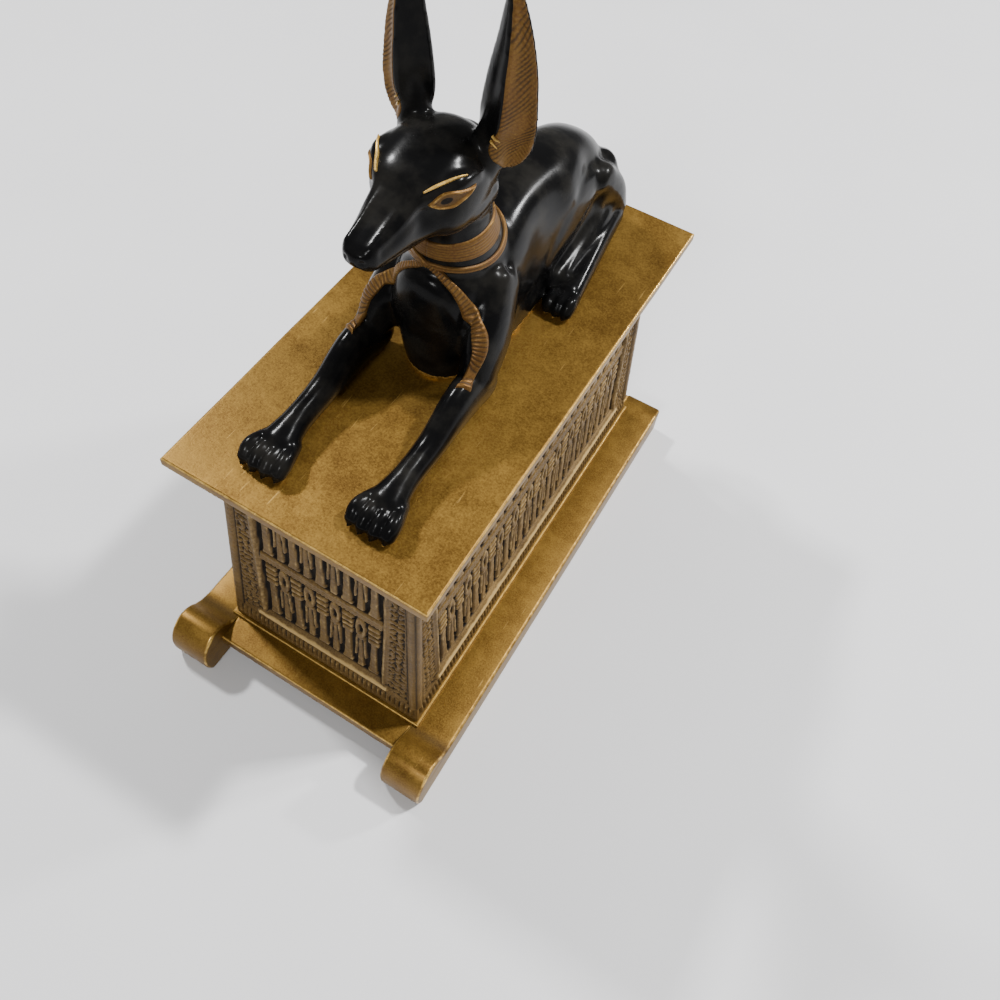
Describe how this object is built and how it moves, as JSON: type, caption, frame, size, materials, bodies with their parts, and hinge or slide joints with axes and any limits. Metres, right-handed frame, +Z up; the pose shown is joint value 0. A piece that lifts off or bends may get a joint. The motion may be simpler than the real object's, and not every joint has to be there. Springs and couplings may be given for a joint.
{
  "type": "jackal statuette",
  "caption": "Recumbent jackal with tall pricked ears, collar and scarf, lying on a carved shrine chest that stands on a sledge with curled runners.",
  "frame": {"origin": "on the surface that the sledge stands on, below the middle of the whole object's box", "axes": "+Z up, the muzzle towards -Y, X across, the chest's length along Y"},
  "size_m": [0.0638, 0.1192, 0.1445],
  "materials": {
    "black_paint": "gloss black paint on cast resin, with gold paint on collar, scarf, brows, eyes and inner ears",
    "gold_paint": "antique gold paint on cast resin, worn bright at the edges, with a dark wash in the carving"
  },
  "bodies": {
    "root": {"jackal": "black_paint", "shrine_chest": "gold_paint"}
  },
  "joints": []
}
